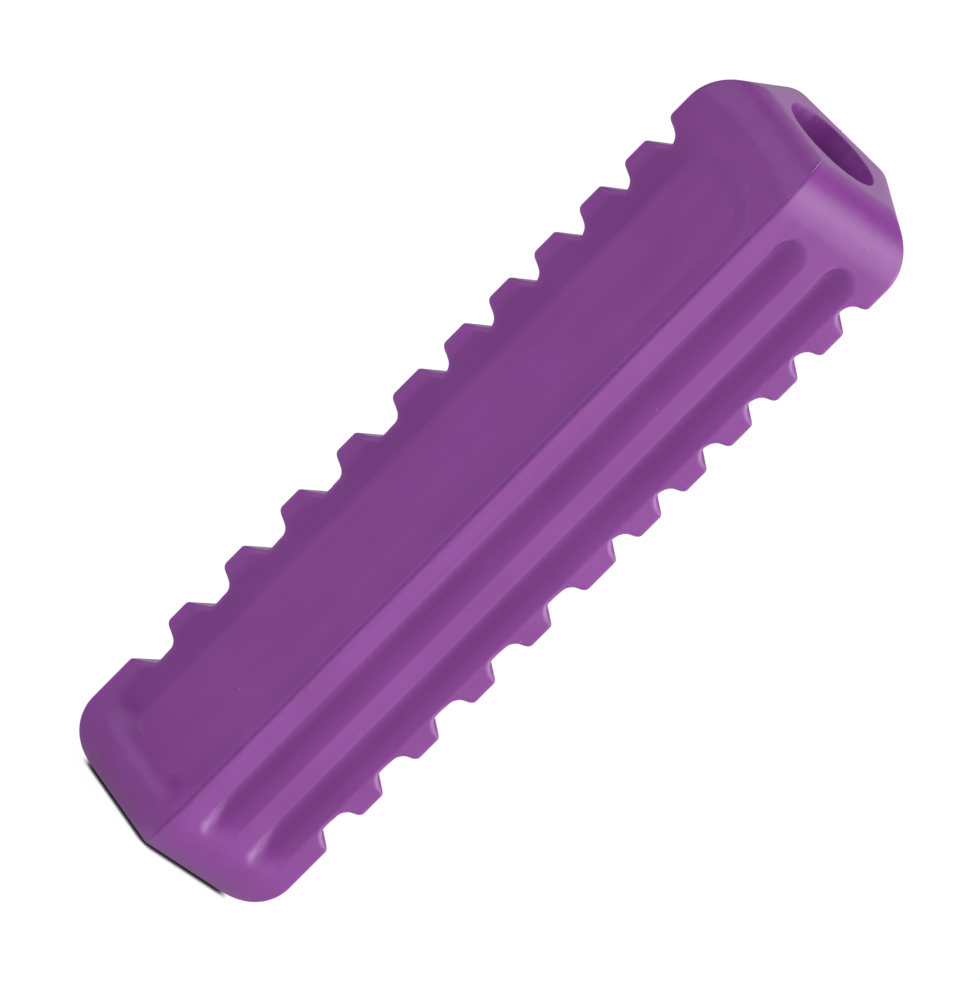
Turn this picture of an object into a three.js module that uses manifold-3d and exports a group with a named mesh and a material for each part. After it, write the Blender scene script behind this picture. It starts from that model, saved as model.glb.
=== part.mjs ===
// A moulded rubber chew stick for a dog: a five-sided bar with a bore through it, made as two
// half mouldings that a thin film of rubber joins along a seam at the front corner and another
// down the middle of the back face. Millimetres, +Z up. The stick stands on one end, its bore
// runs along Z and its front corner, with the seam, faces -Y.

import * as THREE from 'three';
import { mergeVertices } from 'three/addons/utils/BufferGeometryUtils.js';
import Module from 'manifold-3d';

// Driving dimensions of the bar
const stickLength = 150;
const sideCount = 5;
const faceWidth = 25.9;
const boreDiameter = 17;
const endRounding = 8.5;
const leastRim = 0.8;

// Film between the halves, and how far its bead stands proud of the rubber
const seamThickness = 0.3;
const beadProud = 0.2;

// Sunken panel along the front left face
const panelLand = 2.5;
const panelDepth = 3.6;
const panelWallRun = 3.6;
const panelEndMargin = 8.8;
const panelFloorCorner = 5;
const panelLeastFlat = 1;

// Two round-bottomed flutes along the front right face
const fluteWidth = 6.7;
const fluteSpacing = 10.4;
const fluteEndMargin = 9.6;

// Rib grooves across the left and right back faces: coarse ones below, fine ones above
const grooveDepth = 3.4;
const grooveFlankRun = 2.4;
const ribTipRadius = 1.1;
const coarsePitch = 12.5;
const coarseFloor = 3.8;
const coarseRootRadius = 1.3;
const coarseEndMargin = 21.7;
const finePitch = 10;
const fineFloor = 1.1;
const fineRootRadius = 0.8;
const fineEndMargin = 15.5;
const fineCount = 6;

// How far a cutting shape runs past the rubber that it cuts, how finely arcs are divided, and how
// close two corners of a mesh are when they are one
const cutOverrun = 4;
const endArcSteps = 8;
const boreSteps = 48;
const cornerArcSteps = 6;
const grooveArcSteps = 3;
const fluteCapSteps = 5;
const fluteRoundSteps = 20;
const weldDistance = 1e-4;

const wasm = await Module();
wasm.setup();

const up = new THREE.Vector3(0, 0, 1);
const cornerAngle = Math.PI / sideCount;
const inradius = faceWidth / (2 * Math.tan(cornerAngle));
const circumradius = faceWidth / (2 * Math.sin(cornerAngle));
const boreRadius = boreDiameter / 2;
const rounding = Math.min(endRounding, inradius - boreRadius - leastRim);

// The bore's axis lies back from the middle of the stick's box by half of what the front corner
// reaches beyond the back face, so the origin is at the middle of the box, on its floor.
const axisY = (circumradius - inradius) / 2;

// Closed solid from a three.js geometry
function solid(geometry) {
  const bare = geometry.clone();
  for (const name of Object.keys(bare.attributes)) {
    if (name !== 'position') bare.deleteAttribute(name);
  }
  const welded = mergeVertices(bare, weldDistance);
  const corners = welded.index.array;
  const triangles = [];
  for (let i = 0; i < corners.length; i += 3) {
    const [a, b, c] = corners.slice(i, i + 3);
    if (a !== b && b !== c && c !== a) triangles.push(a, b, c);
  }
  const vertProperties = new Float32Array(welded.attributes.position.array);
  const triVerts = new Uint32Array(triangles);
  return new wasm.Manifold(new wasm.Mesh({ numProp: 3, vertProperties, triVerts }));
}

// Named mesh from a solid
function piece(name, body, material) {
  const { vertProperties, triVerts } = body.getMesh();
  const geometry = new THREE.BufferGeometry();
  geometry.setAttribute('position', new THREE.Float32BufferAttribute(vertProperties, 3));
  geometry.setIndex(new THREE.Uint32BufferAttribute(triVerts, 1));
  geometry.computeVertexNormals();
  const mesh = new THREE.Mesh(geometry, material);
  mesh.name = name;
  return mesh;
}

// Turns a lathe about Y into one about the bore's axis, with a corner of the section at -Y
function standOnEnd(geometry) {
  return geometry.rotateX(Math.PI / 2).translate(0, axisY, 0);
}

// Five-sided bar with rounded ends, grown outwards by the given amount: a lathe in five steps
function bar(growth) {
  const reach = inradius + growth;
  const stretch = circumradius / inradius;
  const profile = [new THREE.Vector2(0, 0)];
  for (let i = 0; i <= endArcSteps; i += 1) {
    const turn = (i / endArcSteps) * (Math.PI / 2);
    const flat = reach - rounding * (1 - Math.sin(turn));
    profile.push(new THREE.Vector2(flat * stretch, rounding * (1 - Math.cos(turn))));
  }
  for (let i = endArcSteps; i >= 0; i -= 1) {
    const { x, y } = profile[i + 1];
    profile.push(new THREE.Vector2(x, stickLength - y));
  }
  profile.push(new THREE.Vector2(0, stickLength));
  return solid(standOnEnd(new THREE.LatheGeometry(profile, sideCount)));
}

// Bore, run past both ends
function bore() {
  const length = stickLength + 2 * cutOverrun;
  const rod = new THREE.CylinderGeometry(boreRadius, boreRadius, length, boreSteps);
  return solid(standOnEnd(rod.translate(0, stickLength / 2, 0)));
}

// Outward direction of a face, counted anticlockwise from the front right one
function faceNormal(index) {
  const angle = -Math.PI / 2 + cornerAngle * (2 * index + 1);
  return new THREE.Vector3(Math.cos(angle), Math.sin(angle), 0);
}

// Middle of a face's lower edge, before the end is rounded
function faceFoot(normal) {
  return normal.clone().multiplyScalar(inradius).add(new THREE.Vector3(0, axisY, 0));
}

// Puts a shape that is drawn on a face, X across it, Y up it and Z out of it, on that face
function onFace(geometry, normal) {
  const across = up.clone().cross(normal);
  const place = new THREE.Matrix4().makeBasis(across, up, normal).setPosition(faceFoot(normal));
  return solid(geometry.applyMatrix4(place));
}

// Puts a profile that is drawn up a face, X up it and Y out of it, across that face
function acrossFace(geometry, normal) {
  const across = up.clone().cross(normal);
  const place = new THREE.Matrix4().makeBasis(up, normal, across).setPosition(faceFoot(normal));
  return solid(geometry.applyMatrix4(place));
}

// Rectangle with rounded corners, centred across the face
function roundedPanel(width, bottom, top, corner) {
  const half = width / 2;
  const shape = new THREE.Shape();
  shape.moveTo(half - corner, bottom);
  shape.absarc(half - corner, bottom + corner, corner, -Math.PI / 2, 0);
  shape.absarc(half - corner, top - corner, corner, 0, Math.PI / 2);
  shape.absarc(corner - half, top - corner, corner, Math.PI / 2, Math.PI);
  shape.absarc(corner - half, bottom + corner, corner, Math.PI, Math.PI * 1.5);
  return shape;
}

// Sunken panel: its floor outline, widened by sloping walls up to the face and then run past it
function panelCut(normal) {
  const floorWidth = faceWidth - 2 * (panelLand + panelWallRun);
  const bottom = panelEndMargin + panelWallRun;
  const corner = Math.min(panelFloorCorner, (floorWidth - panelLeastFlat) / 2);
  const outline = roundedPanel(floorWidth, bottom, stickLength - bottom, corner);
  const geometry = new THREE.ExtrudeGeometry(outline, {
    depth: cutOverrun,
    bevelThickness: panelDepth,
    bevelSize: panelWallRun,
    bevelSegments: 1,
    curveSegments: cornerArcSteps,
  });
  return onFace(geometry, normal);
}

// One flute, half sunk in the face
function fluteCut(normal, offset) {
  const radius = fluteWidth / 2;
  const length = stickLength - 2 * (fluteEndMargin + radius);
  const rod = new THREE.CapsuleGeometry(radius, length, fluteCapSteps, fluteRoundSteps);
  return onFace(rod.translate(offset, stickLength / 2, 0), normal);
}

// Arc that rounds the corner at b between a and c, as points along it
function roundCorner(a, b, c, radius, steps) {
  const into = a.clone().sub(b).normalize();
  const out = c.clone().sub(b).normalize();
  const half = Math.acos(into.dot(out)) / 2;
  const tangent = radius / Math.tan(half);
  const centre = into.clone().add(out).normalize().multiplyScalar(radius / Math.sin(half)).add(b);
  const from = into.multiplyScalar(tangent).add(b).sub(centre);
  const to = out.multiplyScalar(tangent).add(b).sub(centre);
  const turn = Math.atan2(from.cross(to), from.dot(to));
  const points = [];
  for (let i = 0; i <= steps; i += 1) {
    points.push(from.clone().rotateAround(new THREE.Vector2(), (turn * i) / steps).add(centre));
  }
  return points;
}

// One rib groove: flanks, a rounded root and the rounded tips of the ribs beside it
function grooveCut(normal, height, floor, rootRadius) {
  const root = floor / 2;
  const lip = root + grooveFlankRun;
  const brow = lip + ribTipRadius * 2;
  const at = (x, y) => new THREE.Vector2(x, y);
  const side = [
    at(brow, cutOverrun),
    at(brow, 0),
    ...roundCorner(at(brow, 0), at(lip, 0), at(root, -grooveDepth), ribTipRadius, grooveArcSteps),
    ...roundCorner(at(lip, 0), at(root, -grooveDepth), at(0, -grooveDepth), rootRadius, grooveArcSteps),
  ];
  const mirrored = side.map(({ x, y }) => at(-x, y)).reverse();
  const outline = new THREE.Shape([...side, ...mirrored]);
  const depth = faceWidth + 2 * cutOverrun;
  const geometry = new THREE.ExtrudeGeometry(outline, { depth, bevelEnabled: false });
  return acrossFace(geometry.translate(height, 0, -depth / 2), normal);
}

// All grooves of a face: the fine ones are counted down from the upper end, and the coarse ones
// fill the length below them
function grooveCuts(normal) {
  const cuts = [];
  const highest = stickLength - fineEndMargin;
  const lowest = highest - (fineCount - 1) * finePitch;
  for (let i = 0; i < fineCount; i += 1) {
    cuts.push(grooveCut(normal, lowest + i * finePitch, fineFloor, fineRootRadius));
  }
  const lastCoarse = lowest - (coarsePitch + finePitch) / 2;
  for (let height = coarseEndMargin; height <= lastCoarse; height += coarsePitch) {
    cuts.push(grooveCut(normal, height, coarseFloor, coarseRootRadius));
  }
  return cuts;
}

// Box that holds everything on one side of the seam film, or the film itself
function slab(width, middle) {
  const span = 4 * circumradius;
  const height = stickLength + 2 * cutOverrun;
  return solid(new THREE.BoxGeometry(width, span, height).translate(middle, 0, stickLength / 2));
}

const frontRight = faceNormal(0);
const rightBack = faceNormal(1);
const leftBack = faceNormal(3);
const frontLeft = faceNormal(4);

const cuts = [
  panelCut(frontLeft),
  fluteCut(frontRight, -fluteSpacing / 2),
  fluteCut(frontRight, fluteSpacing / 2),
  ...grooveCuts(rightBack),
  ...grooveCuts(leftBack),
];
const hole = bore();
const carved = cuts.reduce((body, cut) => body.subtract(cut), bar(0)).subtract(hole);

// The halves stop at the faces of the seam film
const sideWidth = 2 * circumradius;
const sideMiddle = (sideWidth + seamThickness) / 2;
const leftBody = carved.intersect(slab(sideWidth, -sideMiddle));
const rightBody = carved.intersect(slab(sideWidth, sideMiddle));

// The film fills the gap between the halves, in front of the bore and behind it
const film = bar(beadProud).intersect(slab(seamThickness, 0)).subtract(hole);
const strips = film.decompose();
const frontFirst = strips.sort((a, b) => a.boundingBox().min[1] - b.boundingBox().min[1]);

const rubber = new THREE.MeshStandardMaterial({ color: 0x8a4794, roughness: 0.55, metalness: 0 });
const seamRubber = new THREE.MeshStandardMaterial({ color: 0x7c3f86, roughness: 0.6, metalness: 0 });

const chewStick = new THREE.Group();
chewStick.add(piece('left_half', leftBody, rubber));
chewStick.add(piece('right_half', rightBody, rubber));
chewStick.add(piece('front_seam_bead', frontFirst[0], seamRubber));
chewStick.add(piece('back_seam_bead', frontFirst[1], seamRubber));

export default chewStick;
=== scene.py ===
import math
import bpy
import numpy as np
from mathutils import Matrix, Vector


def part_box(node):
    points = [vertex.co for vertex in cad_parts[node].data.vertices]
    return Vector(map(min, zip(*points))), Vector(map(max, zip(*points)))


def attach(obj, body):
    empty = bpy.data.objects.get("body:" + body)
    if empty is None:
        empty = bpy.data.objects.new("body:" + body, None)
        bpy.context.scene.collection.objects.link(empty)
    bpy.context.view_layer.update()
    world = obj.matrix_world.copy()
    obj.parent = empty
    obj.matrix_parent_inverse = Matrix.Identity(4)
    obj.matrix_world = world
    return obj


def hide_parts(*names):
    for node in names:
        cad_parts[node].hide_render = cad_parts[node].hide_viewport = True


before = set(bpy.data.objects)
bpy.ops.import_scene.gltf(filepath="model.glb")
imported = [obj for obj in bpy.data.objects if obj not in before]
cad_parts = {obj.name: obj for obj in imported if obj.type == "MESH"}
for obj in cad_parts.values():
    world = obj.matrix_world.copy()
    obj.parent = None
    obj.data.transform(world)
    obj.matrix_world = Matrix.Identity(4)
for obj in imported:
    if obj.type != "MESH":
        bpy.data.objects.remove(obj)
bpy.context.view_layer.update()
print("frame loaded:", ", ".join(sorted(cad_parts)))

mm = 0.001  # the shapes are worked out in millimetres, the meshes are in metres


def nodeBox(name):
    low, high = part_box(name)
    return np.array(low) / mm, np.array(high) / mm


# The bar that both halves are cut from
stick = {
    "sides": 5,
    "endRounding": 8.9,
    "endCut": 0.17,  # the rounding stops short of level, at a slight edge round the flat
    "endEdgeRound": 0.08,
    "boreRadius": 8.58,
    "boreShift": (-0.2, -0.35),
    "rimRound": 0.2,
    "rimWaves": [(17, 0.03, 1.0), (31, 0.025, 2.3), (53, 0.02, 0.7)],  # count, size and phase
    "cornerSoftness": 0.62,  # along the ribbed corners
    "endCornerSoftness": 0.2,  # at the flats
    "endCornerZone": (7.0, 0.5),  # from the end, where the corners get sharper
    "seamSoftness": 0.7,  # along the front corner, where the halves meet
}
leftLow, leftHigh = nodeBox("left_half")
filmHigh = nodeBox("front_seam_bead")[1]
cornerAngle = math.pi / stick["sides"]
length = leftHigh[2] - leftLow[2]
seamHalf = filmHigh[0]
circumradius = -leftLow[0] / math.cos(math.pi / 2 - 2 * cornerAngle)
cadInradius = circumradius * math.cos(cornerAngle)
axisY = (circumradius - cadInradius) / 2
boreCentre = np.array([0, axisY]) + stick["boreShift"]
inradius = cadInradius + 0.25 * stick["cornerSoftness"]  # rounded corners then reach the frame's corners
frontRight, rightSide, backFace, leftSide, frontLeft = range(stick["sides"])  # anticlockwise from above

# Sunken panel in the front left face: a run is how far in its wall slopes, down to the floor
panel = {
    "depth": 3.18,
    "outerLand": 2.35,
    "outerRun": 4.38,
    "seamLand": 0.3,
    "seamRun": 6.0,
    "bottomMargin": 8.5,
    "bottomRun": 2.5,
    "topMargin": 7.6,
    "topRun": 6.9,
    "floorCorners": {"topOuter": 2.6, "topSeam": 5.0, "bottomOuter": 3.0, "bottomSeam": 2.2},
    "rootRound": {"outer": 0.35, "seam": 1.2, "top": 0.7, "bottom": 0.08},
    "rootZone": 2.5,  # either side of a corner, where one root turns into the next
    "lipRound": 0.5,
    "topLipRound": 2.6,
    "bottomLipRound": 1.4,
    "lipZone": (6, 1),  # inside the end margins, where the lip gets rounder
}

# Two flutes along the front right face: a steep wall on the seam's side, a bulging one opposite
flutes = {
    "width": 6.7,
    "depth": 2.15,
    "starts": (-8.42, 2.03),  # lips nearer the seam, from the middle of the face
    "tops": (139.4, 140.1),
    "topSlope": 1.4,
    "bottom": 9.3,
    "bottomSlope": 0.85,
    "seamSlope": 4.0,
    "seamRoot": 0.5,
    "rootShare": 0.1,  # of the width, about where the steep wall meets the floor
    "wallRadius": 9.0,  # of the bulging wall
    "wallTilt": 16,  # of that wall at its lip, in degrees
    "wallRoot": 0.55,
    "topEndRound": 2.6,
    "bottomEndRound": 2.6,
    "seamLipRound": 0.05,
    "outerLipRound": 0.06,
    "lipShares": (0.5, 0.9),  # of the width, where the one lip's rounding gives way to the other's
    "topLipRound": 0.4,
    "topLipZone": (2.5, 0.5),  # from the flute's end
    "bottomLipRound": 1.0,
    "bottomLipZone": (3.5, 0.5),
}

# Ribs across both side faces, left standing between grooves
ribs = {
    "depth": {"left": 3.4, "right": 3.15},
    "lowerSlope": 1.39,
    "lowerRoot": 0.25,
    "upperSlope": 4.0,
    "upperRoot": 1.4,
    "ribTop": 0.3,
    "ribTopInside": 1.1,  # further in from the ribbed face
    "ribTopZone": 2.0,
    "ribFoot": 0.8,
    "ribFootZone": 0.5,
    "series": [  # each groove's lower and upper lip, from its own height
        {"first": 21.7, "pitch": 12.5, "count": 5, "left": (-4.3, 3.57), "right": (-4.5, 3.0)},
        {"first": 84.5, "pitch": 10.0, "count": 6, "left": (-2.95, 2.1), "right": (-3.0, 2.0)},
    ],
}


def faceAngle(face):  # outward direction
    return -math.pi / 2 + cornerAngle * (2 * face + 1)


def onFace(p, face):  # across the face, and out of it
    cosine, sine = math.cos(faceAngle(face)), math.sin(faceAngle(face))
    x, y = p[..., 0], p[..., 1] - axisY
    return y * cosine - x * sine, x * cosine + y * sine - inradius


def roundMax(a, b, radius):  # where two solids overlap, with their edge rounded
    inner = np.minimum(np.maximum(a, b), -radius)
    return inner + np.hypot(np.maximum(a + radius, 0), np.maximum(b + radius, 0))


def softMax(a, b, softness):  # the same, alike at every depth
    near = np.maximum(softness - np.abs(a - b), 0) / softness
    return np.maximum(a, b) + near * near * softness / 4


def smoothStep(value, low, high):
    t = np.clip((value - low) / (high - low), 0, 1)
    return t * t * (3 - 2 * t)


def nearing(distance, zone):  # 0 beyond the zone's first distance, 1 within its second
    return smoothStep(-distance, -zone[0], -zone[1])


def wallPlane(side, out, slope):  # inside a hollow's wall that falls by this much per millimetre of side
    return -(out + side * slope) / np.hypot(1, slope)


def panelHollow(p):
    across, out = onFace(p, frontLeft)
    edge = inradius * math.tan(cornerAngle)
    left = -edge + panel["outerLand"] + panel["outerRun"]
    right = edge - panel["seamLand"] - panel["seamRun"]
    bottom = panel["bottomMargin"] + panel["bottomRun"]
    top = length - panel["topMargin"] - panel["topRun"]
    fromMiddle, fromHalfway = across - (left + right) / 2, p[..., 2] - (bottom + top) / 2
    corners = panel["floorCorners"]
    above = np.where(fromMiddle < 0, corners["topOuter"], corners["topSeam"])
    below = np.where(fromMiddle < 0, corners["bottomOuter"], corners["bottomSeam"])
    corner = np.where(fromHalfway > 0, above, below)
    u = np.abs(fromMiddle) - (right - left) / 2 + corner
    v = np.abs(fromHalfway) - (top - bottom) / 2 + corner
    uOut, vOut = np.maximum(u, 0), np.maximum(v, 0)
    away = np.hypot(uOut, vOut)
    outline = away + np.minimum(np.maximum(u, v), 0) - corner
    sideways = np.where(away > 0, uOut**2 / np.maximum(away, 1e-9) ** 2, u > v)  # 1 at a side, 0 at an end
    run = np.where(fromMiddle < 0, panel["outerRun"], panel["seamRun"]) * sideways
    run += np.where(fromHalfway < 0, panel["bottomRun"], panel["topRun"]) * (1 - sideways)
    slope = run / panel["depth"]
    wall = (outline - (out + panel["depth"]) * slope) / np.hypot(1, slope)
    root = np.where(fromMiddle < 0, panel["rootRound"]["outer"], panel["rootRound"]["seam"])
    endRoot = np.where(fromHalfway < 0, panel["rootRound"]["bottom"], panel["rootRound"]["top"])
    root = root + (endRoot - root) * smoothStep(v - u, -panel["rootZone"], panel["rootZone"])
    return roundMax(wall, -(out + panel["depth"]), root)


def panelLip(z):  # its rounding, at this height
    upper = nearing(length - panel["topMargin"] - z, panel["lipZone"])
    lower = nearing(z - panel["bottomMargin"], panel["lipZone"])
    lip = panel["lipRound"] + (panel["topLipRound"] - panel["lipRound"]) * upper
    return lip + (panel["bottomLipRound"] - panel["lipRound"]) * lower


def fluteCut(body, p, start, top):
    across, out = onFace(p, frontRight)
    fromSeamLip, fromTop, fromBottom = across - start, top - p[..., 2], p[..., 2] - flutes["bottom"]
    bottomWall = wallPlane(fromBottom, out, flutes["bottomSlope"])
    topWall = wallPlane(fromTop, out, flutes["topSlope"])
    fromOuterLip = flutes["width"] - fromSeamLip
    radius, tilt = flutes["wallRadius"], math.radians(flutes["wallTilt"])
    bulge = radius - np.hypot(fromOuterLip + radius * math.sin(tilt), out + radius * math.cos(tilt))
    hollow = roundMax(np.maximum(bulge, -fromOuterLip), -(out + flutes["depth"]), flutes["wallRoot"])
    hollow = roundMax(wallPlane(fromSeamLip, out, flutes["seamSlope"]), hollow, flutes["seamRoot"])
    hollow = roundMax(hollow, bottomWall, flutes["bottomEndRound"])
    hollow = roundMax(hollow, topWall, flutes["topEndRound"])
    outer = smoothStep(fromSeamLip / flutes["width"], *flutes["lipShares"])
    lip = flutes["seamLipRound"] + (flutes["outerLipRound"] - flutes["seamLipRound"]) * outer
    lip += (flutes["topLipRound"] - lip) * nearing(fromTop, flutes["topLipZone"])
    lip += (flutes["bottomLipRound"] - lip) * nearing(fromBottom, flutes["bottomLipZone"])
    return roundMax(body, -hollow, lip)


def ribCut(body, p, face, row):  # the row's grooves
    out = onFace(p, face)[1]
    side = "left" if face == leftSide else "right"
    lowerLip, upperLip = row[side]
    nearest = np.clip(np.round((p[..., 2] - row["first"]) / row["pitch"]), 0, row["count"] - 1)
    z = p[..., 2] - row["first"] - nearest * row["pitch"]
    lower = wallPlane(z - lowerLip, out, ribs["lowerSlope"])
    upper = wallPlane(upperLip - z, out, ribs["upperSlope"])
    groove = roundMax(upper, -(out + ribs["depth"][side]), ribs["upperRoot"])
    groove = roundMax(groove, lower, ribs["lowerRoot"])
    above = smoothStep(z, -ribs["ribFootZone"], ribs["ribFootZone"])
    inside = smoothStep(-out, 0, ribs["ribTopZone"])
    top = ribs["ribTop"] + (ribs["ribTopInside"] - ribs["ribTop"]) * inside
    return roundMax(body, -groove, top + (ribs["ribFoot"] - top) * above)


def rubberDistance(p):  # how far a point is outside the rubber, the bore left out
    end = np.abs(p[..., 2] - length / 2) - length / 2
    sharper = (stick["endCornerSoftness"] - stick["cornerSoftness"]) * nearing(-end, stick["endCornerZone"])
    section = softMax(onFace(p, frontLeft)[1], onFace(p, frontRight)[1], stick["seamSoftness"] + sharper)
    for face in (rightSide, backFace, leftSide):
        section = softMax(section, onFace(p, face)[1], stick["cornerSoftness"] + sharper)
    body = roundMax(section, end - stick["endCut"], stick["endRounding"])
    body = roundMax(body, end, stick["endEdgeRound"])
    body = roundMax(body, -panelHollow(p), panelLip(p[..., 2]))
    for start, top in zip(flutes["starts"], flutes["tops"]):
        body = fluteCut(body, p, start, top)
    for face in (rightSide, leftSide):
        for row in ribs["series"]:
            body = ribCut(body, p, face, row)
    return body


# How finely the surface is divided, and how it is looked for
grid = {
    "fine": 0.14,  # step at an edge
    "coarse": 0.75,  # step well away from edges
    "growth": 0.24,
    "endSteps": 28,
    "flatSteps": 3,
    "rimSteps": 4,
    "boreSteps": 40,
    "turnZone": 4.0,  # near a ribbed corner the looking direction turns
    "seamTurnZone": 2.3,
    "reach": 2.0,
    "looks": 120,
    "lookShare": 0.95,  # of the distance that is left, gone at each look
    "closeEnough": 1e-5,
    "sharpAngle": 33,
}


def spread(start, stop, edges):  # places from start to stop, closer together near the edges
    places = [start]
    while places[-1] < stop:
        gap = min(abs(places[-1] - edge) for edge in edges)
        places.append(places[-1] + min(grid["fine"] + grid["growth"] * gap, grid["coarse"]))
    places = np.array(places)
    places = start + (places - start) * (stop - start) / (places[-1] - start)
    for edge in edges:
        if places[1] < edge < places[-2]:
            places[np.abs(places - edge).argmin()] = edge
    return places


def rowHeights(mirror):
    side = "right" if mirror else "left"
    lowerRun, upperRun = (ribs["depth"][side] / ribs[slope] for slope in ("lowerSlope", "upperSlope"))
    edges = []
    for row in ribs["series"]:
        for step in range(row["count"]):
            lowerLip, upperLip = (row["first"] + step * row["pitch"] + lip for lip in row[side])
            edges += [lowerLip, lowerLip + lowerRun, upperLip - upperRun, upperLip]
    if mirror:
        edges += [flutes["bottom"], *flutes["tops"]]
    else:
        edges += [panel["bottomMargin"], panel["bottomMargin"] + panel["bottomRun"]]
        edges += [length - panel["topMargin"], length - panel["topMargin"] - panel["topRun"]]
    return spread(stick["endRounding"], length - stick["endRounding"], edges)


def rowPlan(mirror):  # turn of the surface and height of each row, up the outside
    rounding = stick["endRounding"]
    turns = np.linspace(0, math.pi / 2, grid["endSteps"])
    plan = [(-turn, rounding - rounding * math.sin(turn)) for turn in turns[:0:-1]]
    plan += [(0, height) for height in rowHeights(mirror)]
    return plan + [(turn, length - rounding + rounding * math.sin(turn)) for turn in turns[1:]]


def halfStations(mirror):  # face and share of the way across it, from the front seam to the back one
    width = 2 * inradius * math.tan(cornerAngle)
    if mirror:
        edges = [width / 2 + start + share * flutes["width"] for start in flutes["starts"]
                 for share in (0, flutes["rootShare"], 1)]
    else:
        edges = [panel["seamLand"], panel["seamLand"] + panel["seamRun"]]
        edges += [width - panel["outerLand"], width - panel["outerLand"] - panel["outerRun"]]
    bare = seamHalf / math.cos(cornerAngle)  # of the front face, under the seam bead
    front = spread(bare, width, [bare, width, *edges])
    front = (front - bare) / (width - bare)
    ribbed = spread(0, width, [0, width]) / width
    back = spread(0, width / 2, [0, width / 2]) / (width / 2)
    stations = [(frontLeft, t) for t in front[:-1]] + [(leftSide, t) for t in ribbed[:-1]]
    return stations + [(backFace, t) for t in back]


def sectionPoints(reach, stations):  # left half of the section at this inradius
    points = []
    edge = reach * math.tan(cornerAngle)
    bare = seamHalf / math.cos(cornerAngle)
    spans = {frontLeft: (edge - bare, -edge), leftSide: (edge, -edge), backFace: (edge, seamHalf)}
    for face, share in stations:
        start, stop = spans[face]
        across = start + share * (stop - start)
        cosine, sine = math.cos(faceAngle(face)), math.sin(faceAngle(face))
        points.append((reach * cosine - across * sine, reach * sine + across * cosine + axisY))
    return np.array(points)


def lookDirections(stations):  # outward, square to a face and turning to the corner near its ends
    edge = inradius * math.tan(cornerAngle)
    angles = []
    for face, share in stations:
        width = edge if face == backFace else 2 * edge
        zone = grid["seamTurnZone"] if face == frontLeft else grid["turnZone"]
        near = nearing(share * width, (zone, 0))
        far = 0 if face == backFace else nearing((1 - share) * width, (grid["turnZone"], 0))
        angles.append(faceAngle(face) + cornerAngle * (near - far))
    return np.stack([np.cos(angles), np.sin(angles)], 1)


def findSurface(start, direction):
    went = np.zeros(start.shape[:-1])
    for _ in range(grid["looks"]):
        step = grid["lookShare"] * rubberDistance(start - direction * went[..., None])
        went += step
        if np.abs(step).max() < grid["closeEnough"]:
            break
    return start - direction * went[..., None]


def boreRows():  # radius and height of each row, from the top flat down the bore to the bottom flat
    rim, radius = stick["rimRound"], stick["boreRadius"]
    turns = np.linspace(0, math.pi / 2, grid["rimSteps"] + 1)
    lip = [(radius + rim * (1 - math.sin(t)), rim * (1 - math.cos(t))) for t in turns]
    rows = [(r, length - drop) for r, drop in lip]
    rows += [(radius, height) for height in np.linspace(length - rim, rim, grid["boreSteps"])[1:-1]]
    return rows + [(r, drop) for r, drop in lip[::-1]]


def closeLoops(outside, inside):  # the outside rows, the end flats and the bore as closed loops
    shares = np.linspace(0, 1, grid["flatSteps"] + 1)[1:-1]
    topFlat = [outside[-1] + (inside[0] - outside[-1]) * t for t in shares]
    bottomFlat = [inside[-1] + (outside[0] - inside[-1]) * t for t in shares]
    return np.stack([*outside, *topFlat, *inside, *bottomFlat])


def boreWall(spokes, centre, flip):  # rows of points down the bore, whose rim is trimmed unevenly
    turned = np.arctan2(spokes[:, 1], spokes[:, 0] * flip[0])
    waves = sum(size * np.sin(count * turned + phase) for count, size, phase in stick["rimWaves"])
    rows = []
    for radius, height in boreRows():
        nearEnd = max(0, 1 - min(height, length - height) / (2 * stick["rimRound"]))
        points = spokes * (radius + waves * nearEnd)[:, None]
        for end in (0, -1):  # where the half meets the seam
            across = -seamHalf - centre[0]
            points[end] = (across, math.copysign(math.sqrt(radius**2 - across**2), spokes[end][1]))
        rows.append(np.column_stack([points + centre, np.full(len(points), height)]))
    return np.stack(rows)


def halfLoops(mirror):  # loops round the half moulding's wall: up the outside, down the bore
    stations = halfStations(mirror)
    looks = lookDirections(stations)
    flip = np.array([-1 if mirror else 1, 1, 1])
    start, out = [], []
    for turn, height in rowPlan(mirror):
        flat = sectionPoints(inradius - stick["endRounding"] * (1 - math.cos(turn)), stations)
        look = np.column_stack([looks * math.cos(turn), np.full(len(flat), math.sin(turn))])
        start.append(np.column_stack([flat, np.full(len(flat), height)]) + look * grid["reach"])
        out.append(look)
    outside = findSurface(np.stack(start) * flip, np.stack(out) * flip) * flip
    centre = boreCentre * flip[:2]
    spokes = outside[-1][:, :2] - centre
    spokes /= np.linalg.norm(spokes, axis=1, keepdims=True)
    return closeLoops(outside, boreWall(spokes, centre, flip)).transpose(1, 0, 2) * flip


def loopSolid(name, loops, flipped):  # closed mesh from a stack of closed loops, with both ends filled
    count, size = loops.shape[:2]
    index = np.arange(count * size).reshape(count, size)
    ahead = np.roll(index, -1, axis=1)
    quads = np.stack([index[:-1], ahead[:-1], ahead[1:], index[1:]], -1).reshape(-1, 4)
    faces = [list(quad) for quad in quads] + [list(index[0][::-1]), list(index[-1])]
    if flipped:
        faces = [face[::-1] for face in faces]
    mesh = bpy.data.meshes.new(name)
    mesh.from_pydata((loops.reshape(-1, 3) * mm).tolist(), [], faces)
    mesh.validate()
    mesh.shade_smooth()
    mesh.set_sharp_from_angle(angle=math.radians(grid["sharpAngle"]))
    piece = bpy.data.objects.new(name, mesh)
    bpy.context.scene.collection.objects.link(piece)
    return piece


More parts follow.
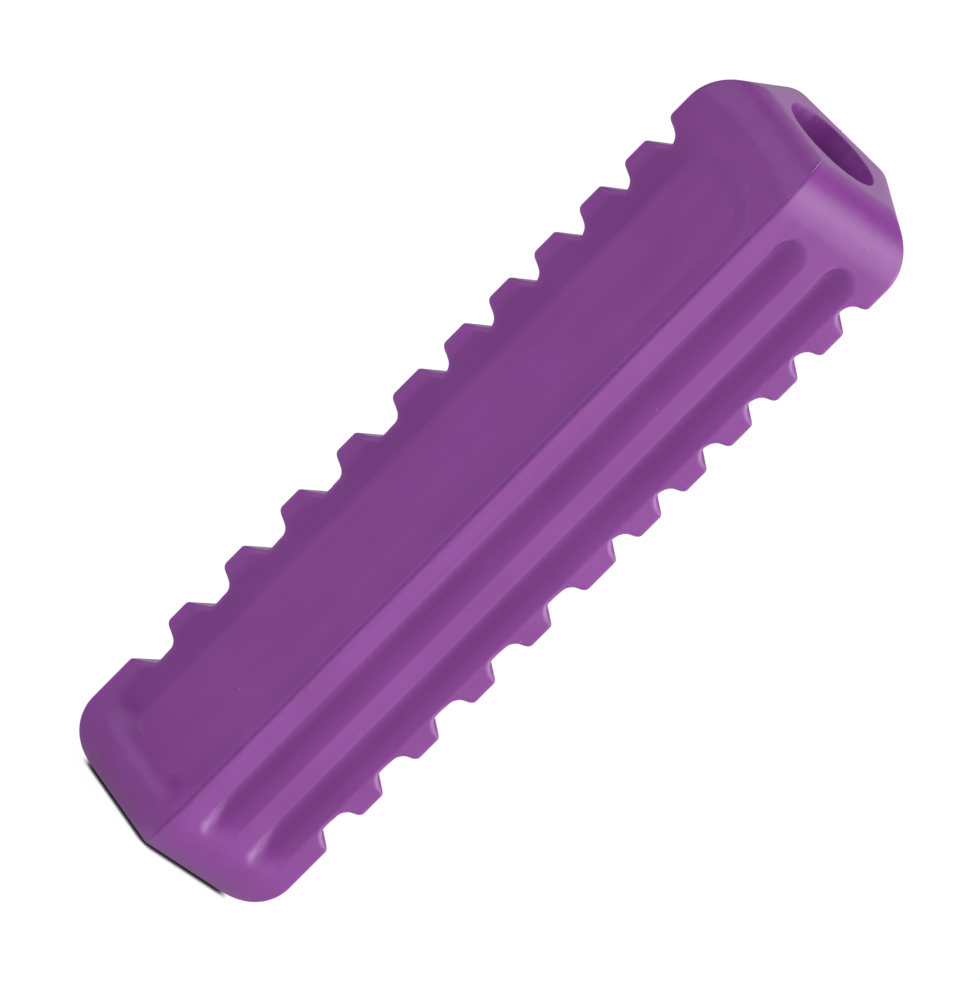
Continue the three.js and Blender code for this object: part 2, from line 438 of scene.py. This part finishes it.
leftHalf = loopSolid("leftHalfMoulding", halfLoops(False), False)
rightHalf = loopSolid("rightHalfMoulding", halfLoops(True), True)
print("half mouldings:", len(leftHalf.data.polygons), "and", len(rightHalf.data.polygons), "faces")

# Seam bead: a fine crease in the joint, with bits of flash on the left half's side of it
bead = {
    "creaseDepth": 0.07,
    "creaseDepths": (0.4, 1.0),  # it is uneven
    "creaseShare": 0.3,  # of the joint's width
    "creaseEnd": 0.2,  # turn at which it has run out towards the top
    "creaseLeft": 0.1,  # share of its depth from there on
    "sunk": 0.01,  # the joint, below the halves
    "ridgeStart": -0.46,
    "ridgeHeight": 0.12,
    "ridgeShoulder": (0.8, 0.7),  # shares of its start and of its height
    "ridgeCrest": 0.6,  # share of its start
    "ridgeFoot": (0.03, 0.6),  # beside the joint, and share of its height
    "ridgeThickness": 0.6,
    "buried": 0.06,
    "bits": 240,
    "bitsLeft": 0.4,
    "bitHeights": (0.2, 1.0),
    "tags": [(97.5, 0.5, 0.16), (144.0, 1.1, 0.2), (149.2, 0.7, 0.22)],  # height, half length, how far out
    "seed": 7,
}


def ridgeAndCrease(heights, turns, rng):  # how far each stands out, up the seam
    fade = np.cos(turns) ** 2  # the bits run out towards the end flats
    knots = np.linspace(0, length, bead["bits"])
    flash = rng.uniform(*bead["bitHeights"], bead["bits"]) * (rng.random(bead["bits"]) < bead["bitsLeft"])
    ridge = bead["ridgeHeight"] * np.interp(heights, knots, flash) * fade
    for height, half, out in bead["tags"]:
        ridge = np.maximum(ridge, out * np.clip(2 - 2 * np.abs(heights - height) / half, 0, 1))
    uneven = np.interp(heights, knots, rng.uniform(*bead["creaseDepths"], bead["bits"]))
    crease = -bead["creaseDepth"] * uneven * np.clip(1 - turns / bead["creaseEnd"], bead["creaseLeft"], 1)
    return ridge, crease


def seamLoops(front):
    plan = rowPlan(False)
    turns, heights = np.array(plan).T
    ridge, crease = ridgeAndCrease(heights, turns, np.random.default_rng(bead["seed"] + front))
    side = -1 if front else 1
    reach = inradius - stick["endRounding"] * (1 - np.cos(turns))
    tip = reach / math.cos(cornerAngle) if front else reach
    look = np.column_stack([0 * turns, side * np.cos(turns), np.sin(turns)])
    start, level, narrow = bead["ridgeStart"], 0 * turns - bead["sunk"], bead["creaseShare"] * seamHalf
    shoulder, foot = bead["ridgeShoulder"], bead["ridgeFoot"]
    steps = [  # across the seam, and how far out
        (start, level - bead["buried"]),
        (start * shoulder[0], ridge * shoulder[1] + level),
        (start * bead["ridgeCrest"], ridge),
        (-seamHalf - foot[0], ridge * foot[1] + level),
        (-seamHalf, level),
        (-2 * narrow, level),
        (-narrow, crease),
        (narrow, crease),
        (2 * narrow, level),
        (seamHalf, level),
    ]
    rows = boreRows()
    loops = []
    for x, offset in steps:
        corner = np.column_stack([0 * turns + x, axisY + side * tip, heights])
        outside = findSurface(corner + look * grid["reach"], look) + look * offset[:, None]
        outside[:, 2] = np.clip(outside[:, 2], 0, length)
        if x < -seamHalf:  # the flash lies on the left half
            share = np.linspace(len(outside) - 1, 0, len(rows)).astype(int)
            inside = (outside - look * bead["ridgeThickness"])[share]
        else:  # the joint goes through to the bore
            depths = [math.sqrt(r * r - (x - boreCentre[0]) ** 2) for r, z in rows]
            inside = np.array([(x, boreCentre[1] + side * d, z) for d, (r, z) in zip(depths, rows)])
        loops.append(closeLoops(outside, inside))
    return np.stack(loops)


frontBead = loopSolid("frontSeamBead", seamLoops(True), True)
backBead = loopSolid("backSeamBead", seamLoops(False), False)
print("seam beads:", len(frontBead.data.polygons), "and", len(backBead.data.polygons), "faces")


class Wire:  # a shader socket that can be written in sums
    def __init__(self, tree, socket):
        self.tree, self.socket = tree, socket

    def sum(self, operation, a, b):
        return self.tree.add("ShaderNodeMath", {"operation": operation}, {0: a, 1: b})

    def __add__(self, other):
        return self.sum("ADD", self, other)

    def __sub__(self, other):
        return self.sum("SUBTRACT", self, other)

    def __rsub__(self, other):
        return self.sum("SUBTRACT", other, self)

    def __mul__(self, other):
        return self.sum("MULTIPLY", self, other)

    def __lt__(self, other):
        return self.sum("LESS_THAN", self, other)

    def __gt__(self, other):
        return self.sum("GREATER_THAN", self, other)

    __radd__ = __add__
    __rmul__ = __mul__


class Tree:  # the nodes of one material or of the world
    def __init__(self, owner):
        owner.use_nodes = True
        self.nodes, self.links = owner.node_tree.nodes, owner.node_tree.links
        self.nodes.clear()

    def add(self, kind, settings=None, sockets=None, out=0):
        node = self.nodes.new(kind)
        for key, value in (settings or {}).items():
            setattr(node, key, value)
        for key, value in (sockets or {}).items():
            if isinstance(value, Wire):
                self.links.new(value.socket, node.inputs[key])
            else:
                node.inputs[key].default_value = value
        return Wire(self, node.outputs[out]) if len(node.outputs) else None

    def vector(self, operation, sockets, out=0):
        return self.add("ShaderNodeVectorMath", {"operation": operation}, sockets, out)

    def mix(self, factor, a, b):  # colours
        a, b = (colour if isinstance(colour, Wire) else (*colour, 1) for colour in (a, b))
        return self.add("ShaderNodeMix", {"data_type": "RGBA"}, {0: factor, 6: a, 7: b}, 2)

    def noise(self, vector, scale, detail):  # about 0 to 1, mostly near the middle
        return self.add("ShaderNodeTexNoise", {}, {"Vector": vector, "Scale": scale, "Detail": detail})

    def ramp(self, value, low, high):
        settings = {"interpolation_type": "SMOOTHSTEP"}
        return self.add("ShaderNodeMapRange", settings, {0: value, 1: low, 2: high, 3: 0, 4: 1})


# Satin rubber: faint clouds and lengthwise streaks in the purple, a fine grain, pale specks, paler edges
rubberLook = {
    "deep": (0.262, 0.0475, 0.315),
    "full": (0.298, 0.058, 0.355),
    "edge": (0.36, 0.10, 0.42),
    "speck": (0.52, 0.28, 0.56),
    "clouds": (0.07, 3),  # these are noises: scale per millimetre, and detail
    "streaks": (0.5, 2),
    "grain": (2.6, 2),
    "peel": (0.8, 1),
    "waves": (0.16, 2),
    "drawnOut": (1, 1, 0.06),  # the streaks, lengthwise
    "toneParts": (0.6, 0.4),  # clouds, streaks
    "toneRange": (0.32, 0.68),
    "edgeRange": (0.515, 0.58),  # of pointiness
    "edgePaleness": 0.2,
    "speckScale": 0.2,
    "speckSize": 0.022,
    "speckPick": 0.7,  # only cells whose random value is above this have one
    "scuffs": [  # from, to, half width and strength
        ((11.6, -8.5, 147.5), (14.3, -9.0, 144.4), 0.16, 0.28),
        ((11.4, -11.8, 36.4), (11.7, -11.6, 35.3), 0.13, 0.35),
        ((0.7, -19.6, 38.4), (1.2, -19.3, 37.0), 0.12, 0.25),
    ],
    "roughness": 0.34,
    "roughnessParts": (0.06, 0.04, 0.03),  # clouds, streaks, grain
    "edgePolish": 0.04,
    "bumpParts": (0.6, 2, 10),  # grain, peel, waves
    "bumpStrength": 0.5,
    "bumpDepth": 0.02,
}


def nearLine(tree, place, start, stop, width):  # 1 on a line from start to stop, and 0 beyond the width
    way = Vector(stop) - Vector(start)
    offset = tree.vector("SUBTRACT", {0: place, 1: start})
    along = tree.vector("DOT_PRODUCT", {0: offset, 1: way.normalized()}, "Value")
    along = tree.add("ShaderNodeClamp", {}, {0: along, 1: 0, 2: way.length})
    foot = tree.vector("SCALE", {0: way.normalized(), "Scale": along})
    gap = tree.vector("DISTANCE", {0: offset, 1: foot}, "Value")
    return 1 - tree.ramp(gap, 0, width)


def rubberNodes(tree, look):  # place in millimetres, colour, roughness and normal
    place = tree.add("ShaderNodeTexCoord", {}, {}, "Object")
    place = tree.vector("SCALE", {0: place, "Scale": 1 / mm})
    drawn = tree.vector("MULTIPLY", {0: place, 1: look["drawnOut"]})
    clouds = tree.noise(place, *look["clouds"])
    streaks = tree.noise(drawn, *look["streaks"])
    grain = tree.noise(place, *look["grain"])
    peel = tree.noise(place, *look["peel"])
    waves = tree.noise(place, *look["waves"])
    cloudy, streaky = look["toneParts"]
    tone = tree.ramp(clouds * cloudy + streaks * streaky, *look["toneRange"])
    colour = tree.mix(tone, look["deep"], look["full"])
    bend = tree.add("ShaderNodeNewGeometry", {}, {}, "Pointiness")
    edge = tree.ramp(bend, *look["edgeRange"])
    colour = tree.mix(edge * look["edgePaleness"], colour, look["edge"])
    cells = {"Vector": place, "Scale": look["speckScale"]}
    near = tree.add("ShaderNodeTexVoronoi", {}, cells, "Distance") < look["speckSize"]
    pick = tree.add("ShaderNodeTexVoronoi", {}, cells, "Color")
    pick = tree.add("ShaderNodeSeparateColor", {}, {0: pick}) > look["speckPick"]
    colour = tree.mix(near * pick, colour, look["speck"])
    for start, stop, width, strength in look["scuffs"]:
        colour = tree.mix(nearLine(tree, place, start, stop, width) * strength, colour, look["speck"])
    cloudy, streaky, grainy = look["roughnessParts"]
    roughness = look["roughness"] + clouds * cloudy + streaks * streaky + grain * grainy
    roughness = roughness - edge * look["edgePolish"]
    grainy, peeled, wavy = look["bumpParts"]
    height = grain * grainy + peel * peeled + waves * wavy
    bump = {"Strength": look["bumpStrength"], "Distance": look["bumpDepth"] * mm, "Height": height}
    return place, colour, roughness, tree.add("ShaderNodeBump", {}, bump)


def finishMaterial(tree, colour, roughness, normal):
    sockets = {"Base Color": colour, "Roughness": roughness, "Normal": normal}
    shader = tree.add("ShaderNodeBsdfPrincipled", {}, sockets)
    tree.add("ShaderNodeOutputMaterial", {}, {"Surface": shader})


def purpleRubber():
    material = bpy.data.materials.new("purpleRubber")
    tree = Tree(material)
    finishMaterial(tree, *rubberNodes(tree, rubberLook)[1:])
    return material


# The seam's rubber: painted shade in the crease, unevenly dark, and like the rest elsewhere
seamLook = {
    # colour of the painted shade in the crease
    "crease": (0.195, 0.036, 0.23),
    "creaseShadeWide": 0.09,
    "creaseShadeTop": (136, 140),
    "patches": (0.7, 3),  # noise: scale per millimetre, and detail
    "patchRange": (0.36, 0.64),
    "boreEdge": 11.5,  # nearer the axis than this it is plain
    "tornFrom": (148.0, 148.6),  # height at which the flash was torn off, at the top of the front
    "tornTo": (149.7, 149.9),
    # how dark the painted shade either side of the torn place is
    "tornShadeDarkness": 0.8,
    "streak": (-0.15, 0.12),  # pale in the torn place: its middle and half width
    "streakPaleness": 0.5,
}


def seamRubber():
    material = bpy.data.materials.new("seamRubber")
    tree = Tree(material)
    place, colour, roughness, normal = rubberNodes(tree, rubberLook)
    middle = tree.vector("SUBTRACT", {0: place, 1: (0, axisY, 0)})
    level = tree.vector("MULTIPLY", {0: middle, 1: (1, 1, 0)})
    outside = tree.vector("LENGTH", {0: level}, "Value") > seamLook["boreEdge"]
    sideways = tree.add("ShaderNodeSeparateXYZ", {}, {0: place}, "X")
    height = tree.add("ShaderNodeSeparateXYZ", {}, {0: place}, "Z")
    creaseShadeMask = (sideways > -seamLook["creaseShadeWide"]) * (sideways < seamLook["creaseShadeWide"]) * outside
    creaseShadeMask = creaseShadeMask * (1 - tree.ramp(height, *seamLook["creaseShadeTop"]))
    uneven = tree.ramp(tree.noise(place, *seamLook["patches"]), *seamLook["patchRange"])
    # painted shade: the crease darkened, in uneven patches
    colour = tree.mix(creaseShadeMask * uneven, colour, seamLook["crease"])
    torn = tree.ramp(height, *seamLook["tornFrom"]) * (1 - tree.ramp(height, *seamLook["tornTo"])) * outside
    torn = torn * (tree.add("ShaderNodeSeparateXYZ", {}, {0: middle}, "Y") < 0)
    streakMiddle, streakHalf = seamLook["streak"]
    beside = tree.add("ShaderNodeMath", {"operation": "ABSOLUTE"}, {0: sideways - streakMiddle})
    # painted shade either side of the torn place, in the crease's colour
    tornShade = torn * (beside > streakHalf) * seamLook["tornShadeDarkness"]
    pale = torn * (beside < streakHalf) * seamLook["streakPaleness"]
    colour = tree.mix(pale, tree.mix(tornShade, colour, seamLook["crease"]), rubberLook["speck"])
    finishMaterial(tree, colour, roughness, normal)
    return material


halfRubber, beadRubber = purpleRubber(), seamRubber()
for piece, node, material, slot in (
    (leftHalf, "left_half", halfRubber, "purple_rubber"),
    (rightHalf, "right_half", halfRubber, "purple_rubber"),
    (frontBead, "front_seam_bead", beadRubber, "seam_rubber"),
    (backBead, "back_seam_bead", beadRubber, "seam_rubber"),
):
    piece.data.materials.append(material)
    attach(piece, "root")
    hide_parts(node)
print("materials and places set")

# Camera: where the photograph was taken from, with its roll
shot = {
    "azimuth": -2.35,
    "elevation": 13.76,
    "roll": 44.9,
    "distance": 2736.0,
    "target": (0.04, 2.1, 74.0),
    "pixelsPerMm": 6.563,
    "imageHeight": 981,
    "clip": (0.1, 50),  # in metres
}


def addCamera():
    azimuth, elevation, roll = (math.radians(shot[key]) for key in ("azimuth", "elevation", "roll"))
    level = math.cos(elevation)
    back = Vector((math.sin(azimuth) * level, -math.cos(azimuth) * level, math.sin(elevation)))
    right = Vector((math.cos(azimuth), math.sin(azimuth), 0))
    up = back.cross(right)
    sideways = right * math.cos(roll) + up * math.sin(roll)
    upright = up * math.cos(roll) - right * math.sin(roll)
    place = (Vector(shot["target"]) + back * shot["distance"]) * mm
    camera = bpy.data.objects.new("camera", bpy.data.cameras.new("camera"))
    turned = Matrix((sideways, upright, back)).transposed().to_4x4()
    camera.matrix_world = Matrix.Translation(place) @ turned
    pixels = shot["pixelsPerMm"] * shot["distance"]
    camera.data.lens = camera.data.sensor_width * pixels / shot["imageHeight"]
    camera.data.clip_start, camera.data.clip_end = shot["clip"]
    bpy.context.scene.collection.objects.link(camera)
    bpy.context.scene.camera = camera


addCamera()

# Soft boxes round the stick: direction in degrees, size in metres, and about how bright they make white
lamps = {
    "distance": 4.0,
    "boxes": [
        {"name": "keyLamp", "azimuth": -8, "elevation": 33, "size": (3.6, 2.1), "level": 0.68},
        {"name": "sideLamp", "azimuth": 10, "elevation": 4, "size": (4.0, 1.2), "level": 0.6},
        {"name": "fillLamp", "azimuth": 220, "elevation": 41, "size": (6.6, 5.6), "level": 0.86,
         "colour": (1.0, 0.98, 1.04)},
        {"name": "backLamp", "azimuth": 100, "elevation": 27, "size": (5.2, 3.8), "level": 0.32},
    ],
}


def addLamp(box):
    data = bpy.data.lights.new(box["name"], "AREA")
    data.shape = "RECTANGLE"
    data.size, data.size_y = box["size"]
    data.color = box.get("colour", (1, 1, 1))
    data.energy = box["level"] * (math.pi * lamps["distance"]) ** 2
    azimuth, elevation = math.radians(box["azimuth"]), math.radians(box["elevation"])
    level = math.cos(elevation)
    direction = Vector((math.cos(azimuth) * level, math.sin(azimuth) * level, math.sin(elevation)))
    lamp = bpy.data.objects.new(box["name"], data)
    lamp.location = Vector((0, 0, length / 2 * mm)) + direction * lamps["distance"]
    lamp.rotation_mode = "QUATERNION"
    lamp.rotation_quaternion = direction.to_track_quat("Z", "Y")
    bpy.context.scene.collection.objects.link(lamp)


for box in lamps["boxes"]:
    addLamp(box)

# White behind the stick for the camera, and a dim room for the light that goes round it
room = {"white": 1.0, "dim": 0.03}


def addRoom():
    world = bpy.data.worlds.new("studio")
    bpy.context.scene.world = world
    tree = Tree(world)
    seen = tree.add("ShaderNodeLightPath", {}, {}, "Is Camera Ray")
    strength = room["dim"] + seen * (room["white"] - room["dim"])
    glow = tree.add("ShaderNodeBackground", {}, {"Color": (1, 1, 1, 1), "Strength": strength})
    tree.add("ShaderNodeOutputWorld", {}, {"Surface": glow})


addRoom()

# Floor: white with the shadow close under the stick, and grey for the light that it throws back
floorLook = {
    "halfSize": 2.0,  # in metres
    "albedo": 0.5,
    "glow": 0.25,
    "seenAlbedo": 0.12,
    "seenGlow": 0.95,
    "shadowReach": 1.8,
    "shadowRange": (0.1, 0.34),  # of openness
}


def floorMaterial():
    material = bpy.data.materials.new("paleFloor")
    tree = Tree(material)
    seen = tree.add("ShaderNodeLightPath", {}, {}, "Is Camera Ray")
    openness = tree.add("ShaderNodeAmbientOcclusion", {}, {"Distance": floorLook["shadowReach"] * mm}, "AO")
    bright = tree.ramp(openness, *floorLook["shadowRange"])
    lit = tree.add("ShaderNodeBsdfDiffuse", {}, {"Color": (*[floorLook["albedo"]] * 3, 1)})
    bounce = tree.add("ShaderNodeEmission", {}, {"Strength": floorLook["glow"]})
    thrown = tree.add("ShaderNodeAddShader", {}, {0: lit, 1: bounce})
    faint = tree.add("ShaderNodeBsdfDiffuse", {}, {"Color": (*[floorLook["seenAlbedo"]] * 3, 1)})
    white = tree.add("ShaderNodeEmission", {}, {"Strength": bright * floorLook["seenGlow"]})
    shown = tree.add("ShaderNodeAddShader", {}, {0: faint, 1: white})
    both = tree.add("ShaderNodeMixShader", {}, {0: seen, 1: thrown, 2: shown})
    tree.add("ShaderNodeOutputMaterial", {}, {"Surface": both})
    return material


half = floorLook["halfSize"]
floorMesh = bpy.data.meshes.new("floor")
corners = [(-half, -half, 0), (half, -half, 0), (half, half, 0), (-half, half, 0)]
floorMesh.from_pydata(corners, [], [(0, 1, 2, 3)])
floorMesh.materials.append(floorMaterial())
floor = bpy.data.objects.new("floor", floorMesh)
bpy.context.scene.collection.objects.link(floor)
print("camera, lamps and floor set")

bpy.context.scene.view_settings.view_transform = "Standard"
